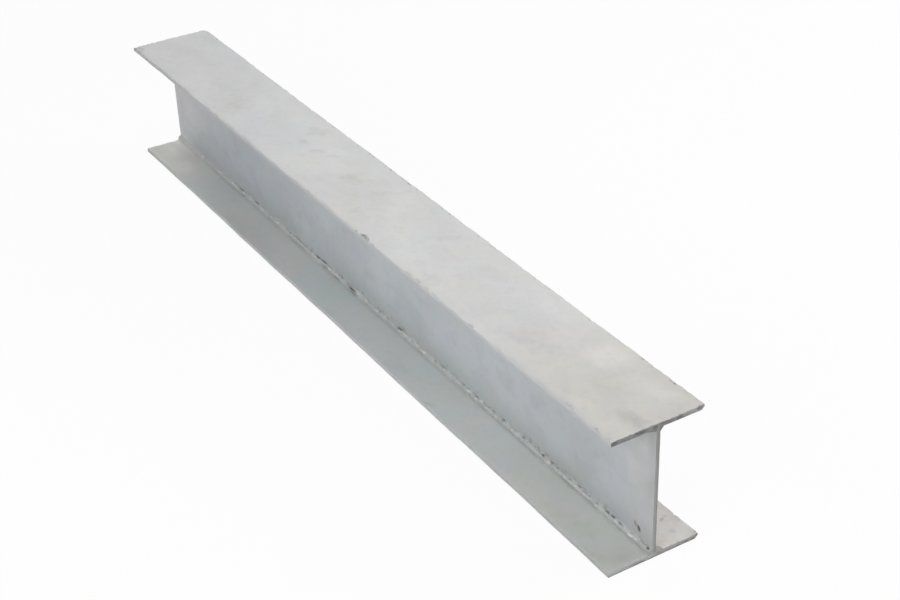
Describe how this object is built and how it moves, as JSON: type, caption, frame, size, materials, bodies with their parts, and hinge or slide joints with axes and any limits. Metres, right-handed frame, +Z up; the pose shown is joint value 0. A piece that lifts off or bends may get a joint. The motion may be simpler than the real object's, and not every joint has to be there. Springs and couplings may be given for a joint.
{
  "type": "welded steel i-beam",
  "caption": "Welded steel I-beam: a thin web plate standing between wide flange plates, with fillet welds along the inner corners and square-cut ends.",
  "frame": {"origin": "on the floor under the middle of the beam, on the underside of the bottom flange", "axes": "+X along the beam towards its near end, +Y across the flanges to the right as seen by someone looking at that end, +Z up along the web"},
  "size_m": [1, 0.1, 0.145],
  "materials": {
    "galvanised_plate": "dull hot-dip zinc with a soft cloudy mottle, matte",
    "weld_metal": "lumpy zinc-coated weld metal with dark pits, matte"
  },
  "bodies": {
    "root": {"top_flange_plate": "galvanised_plate", "web_plate": "galvanised_plate", "bottom_flange_plate": "galvanised_plate", "weld_bead_bottom_left": "weld_metal", "weld_bead_bottom_right": "weld_metal", "weld_bead_top_left": "weld_metal", "weld_bead_top_right": "weld_metal"}
  },
  "joints": []
}
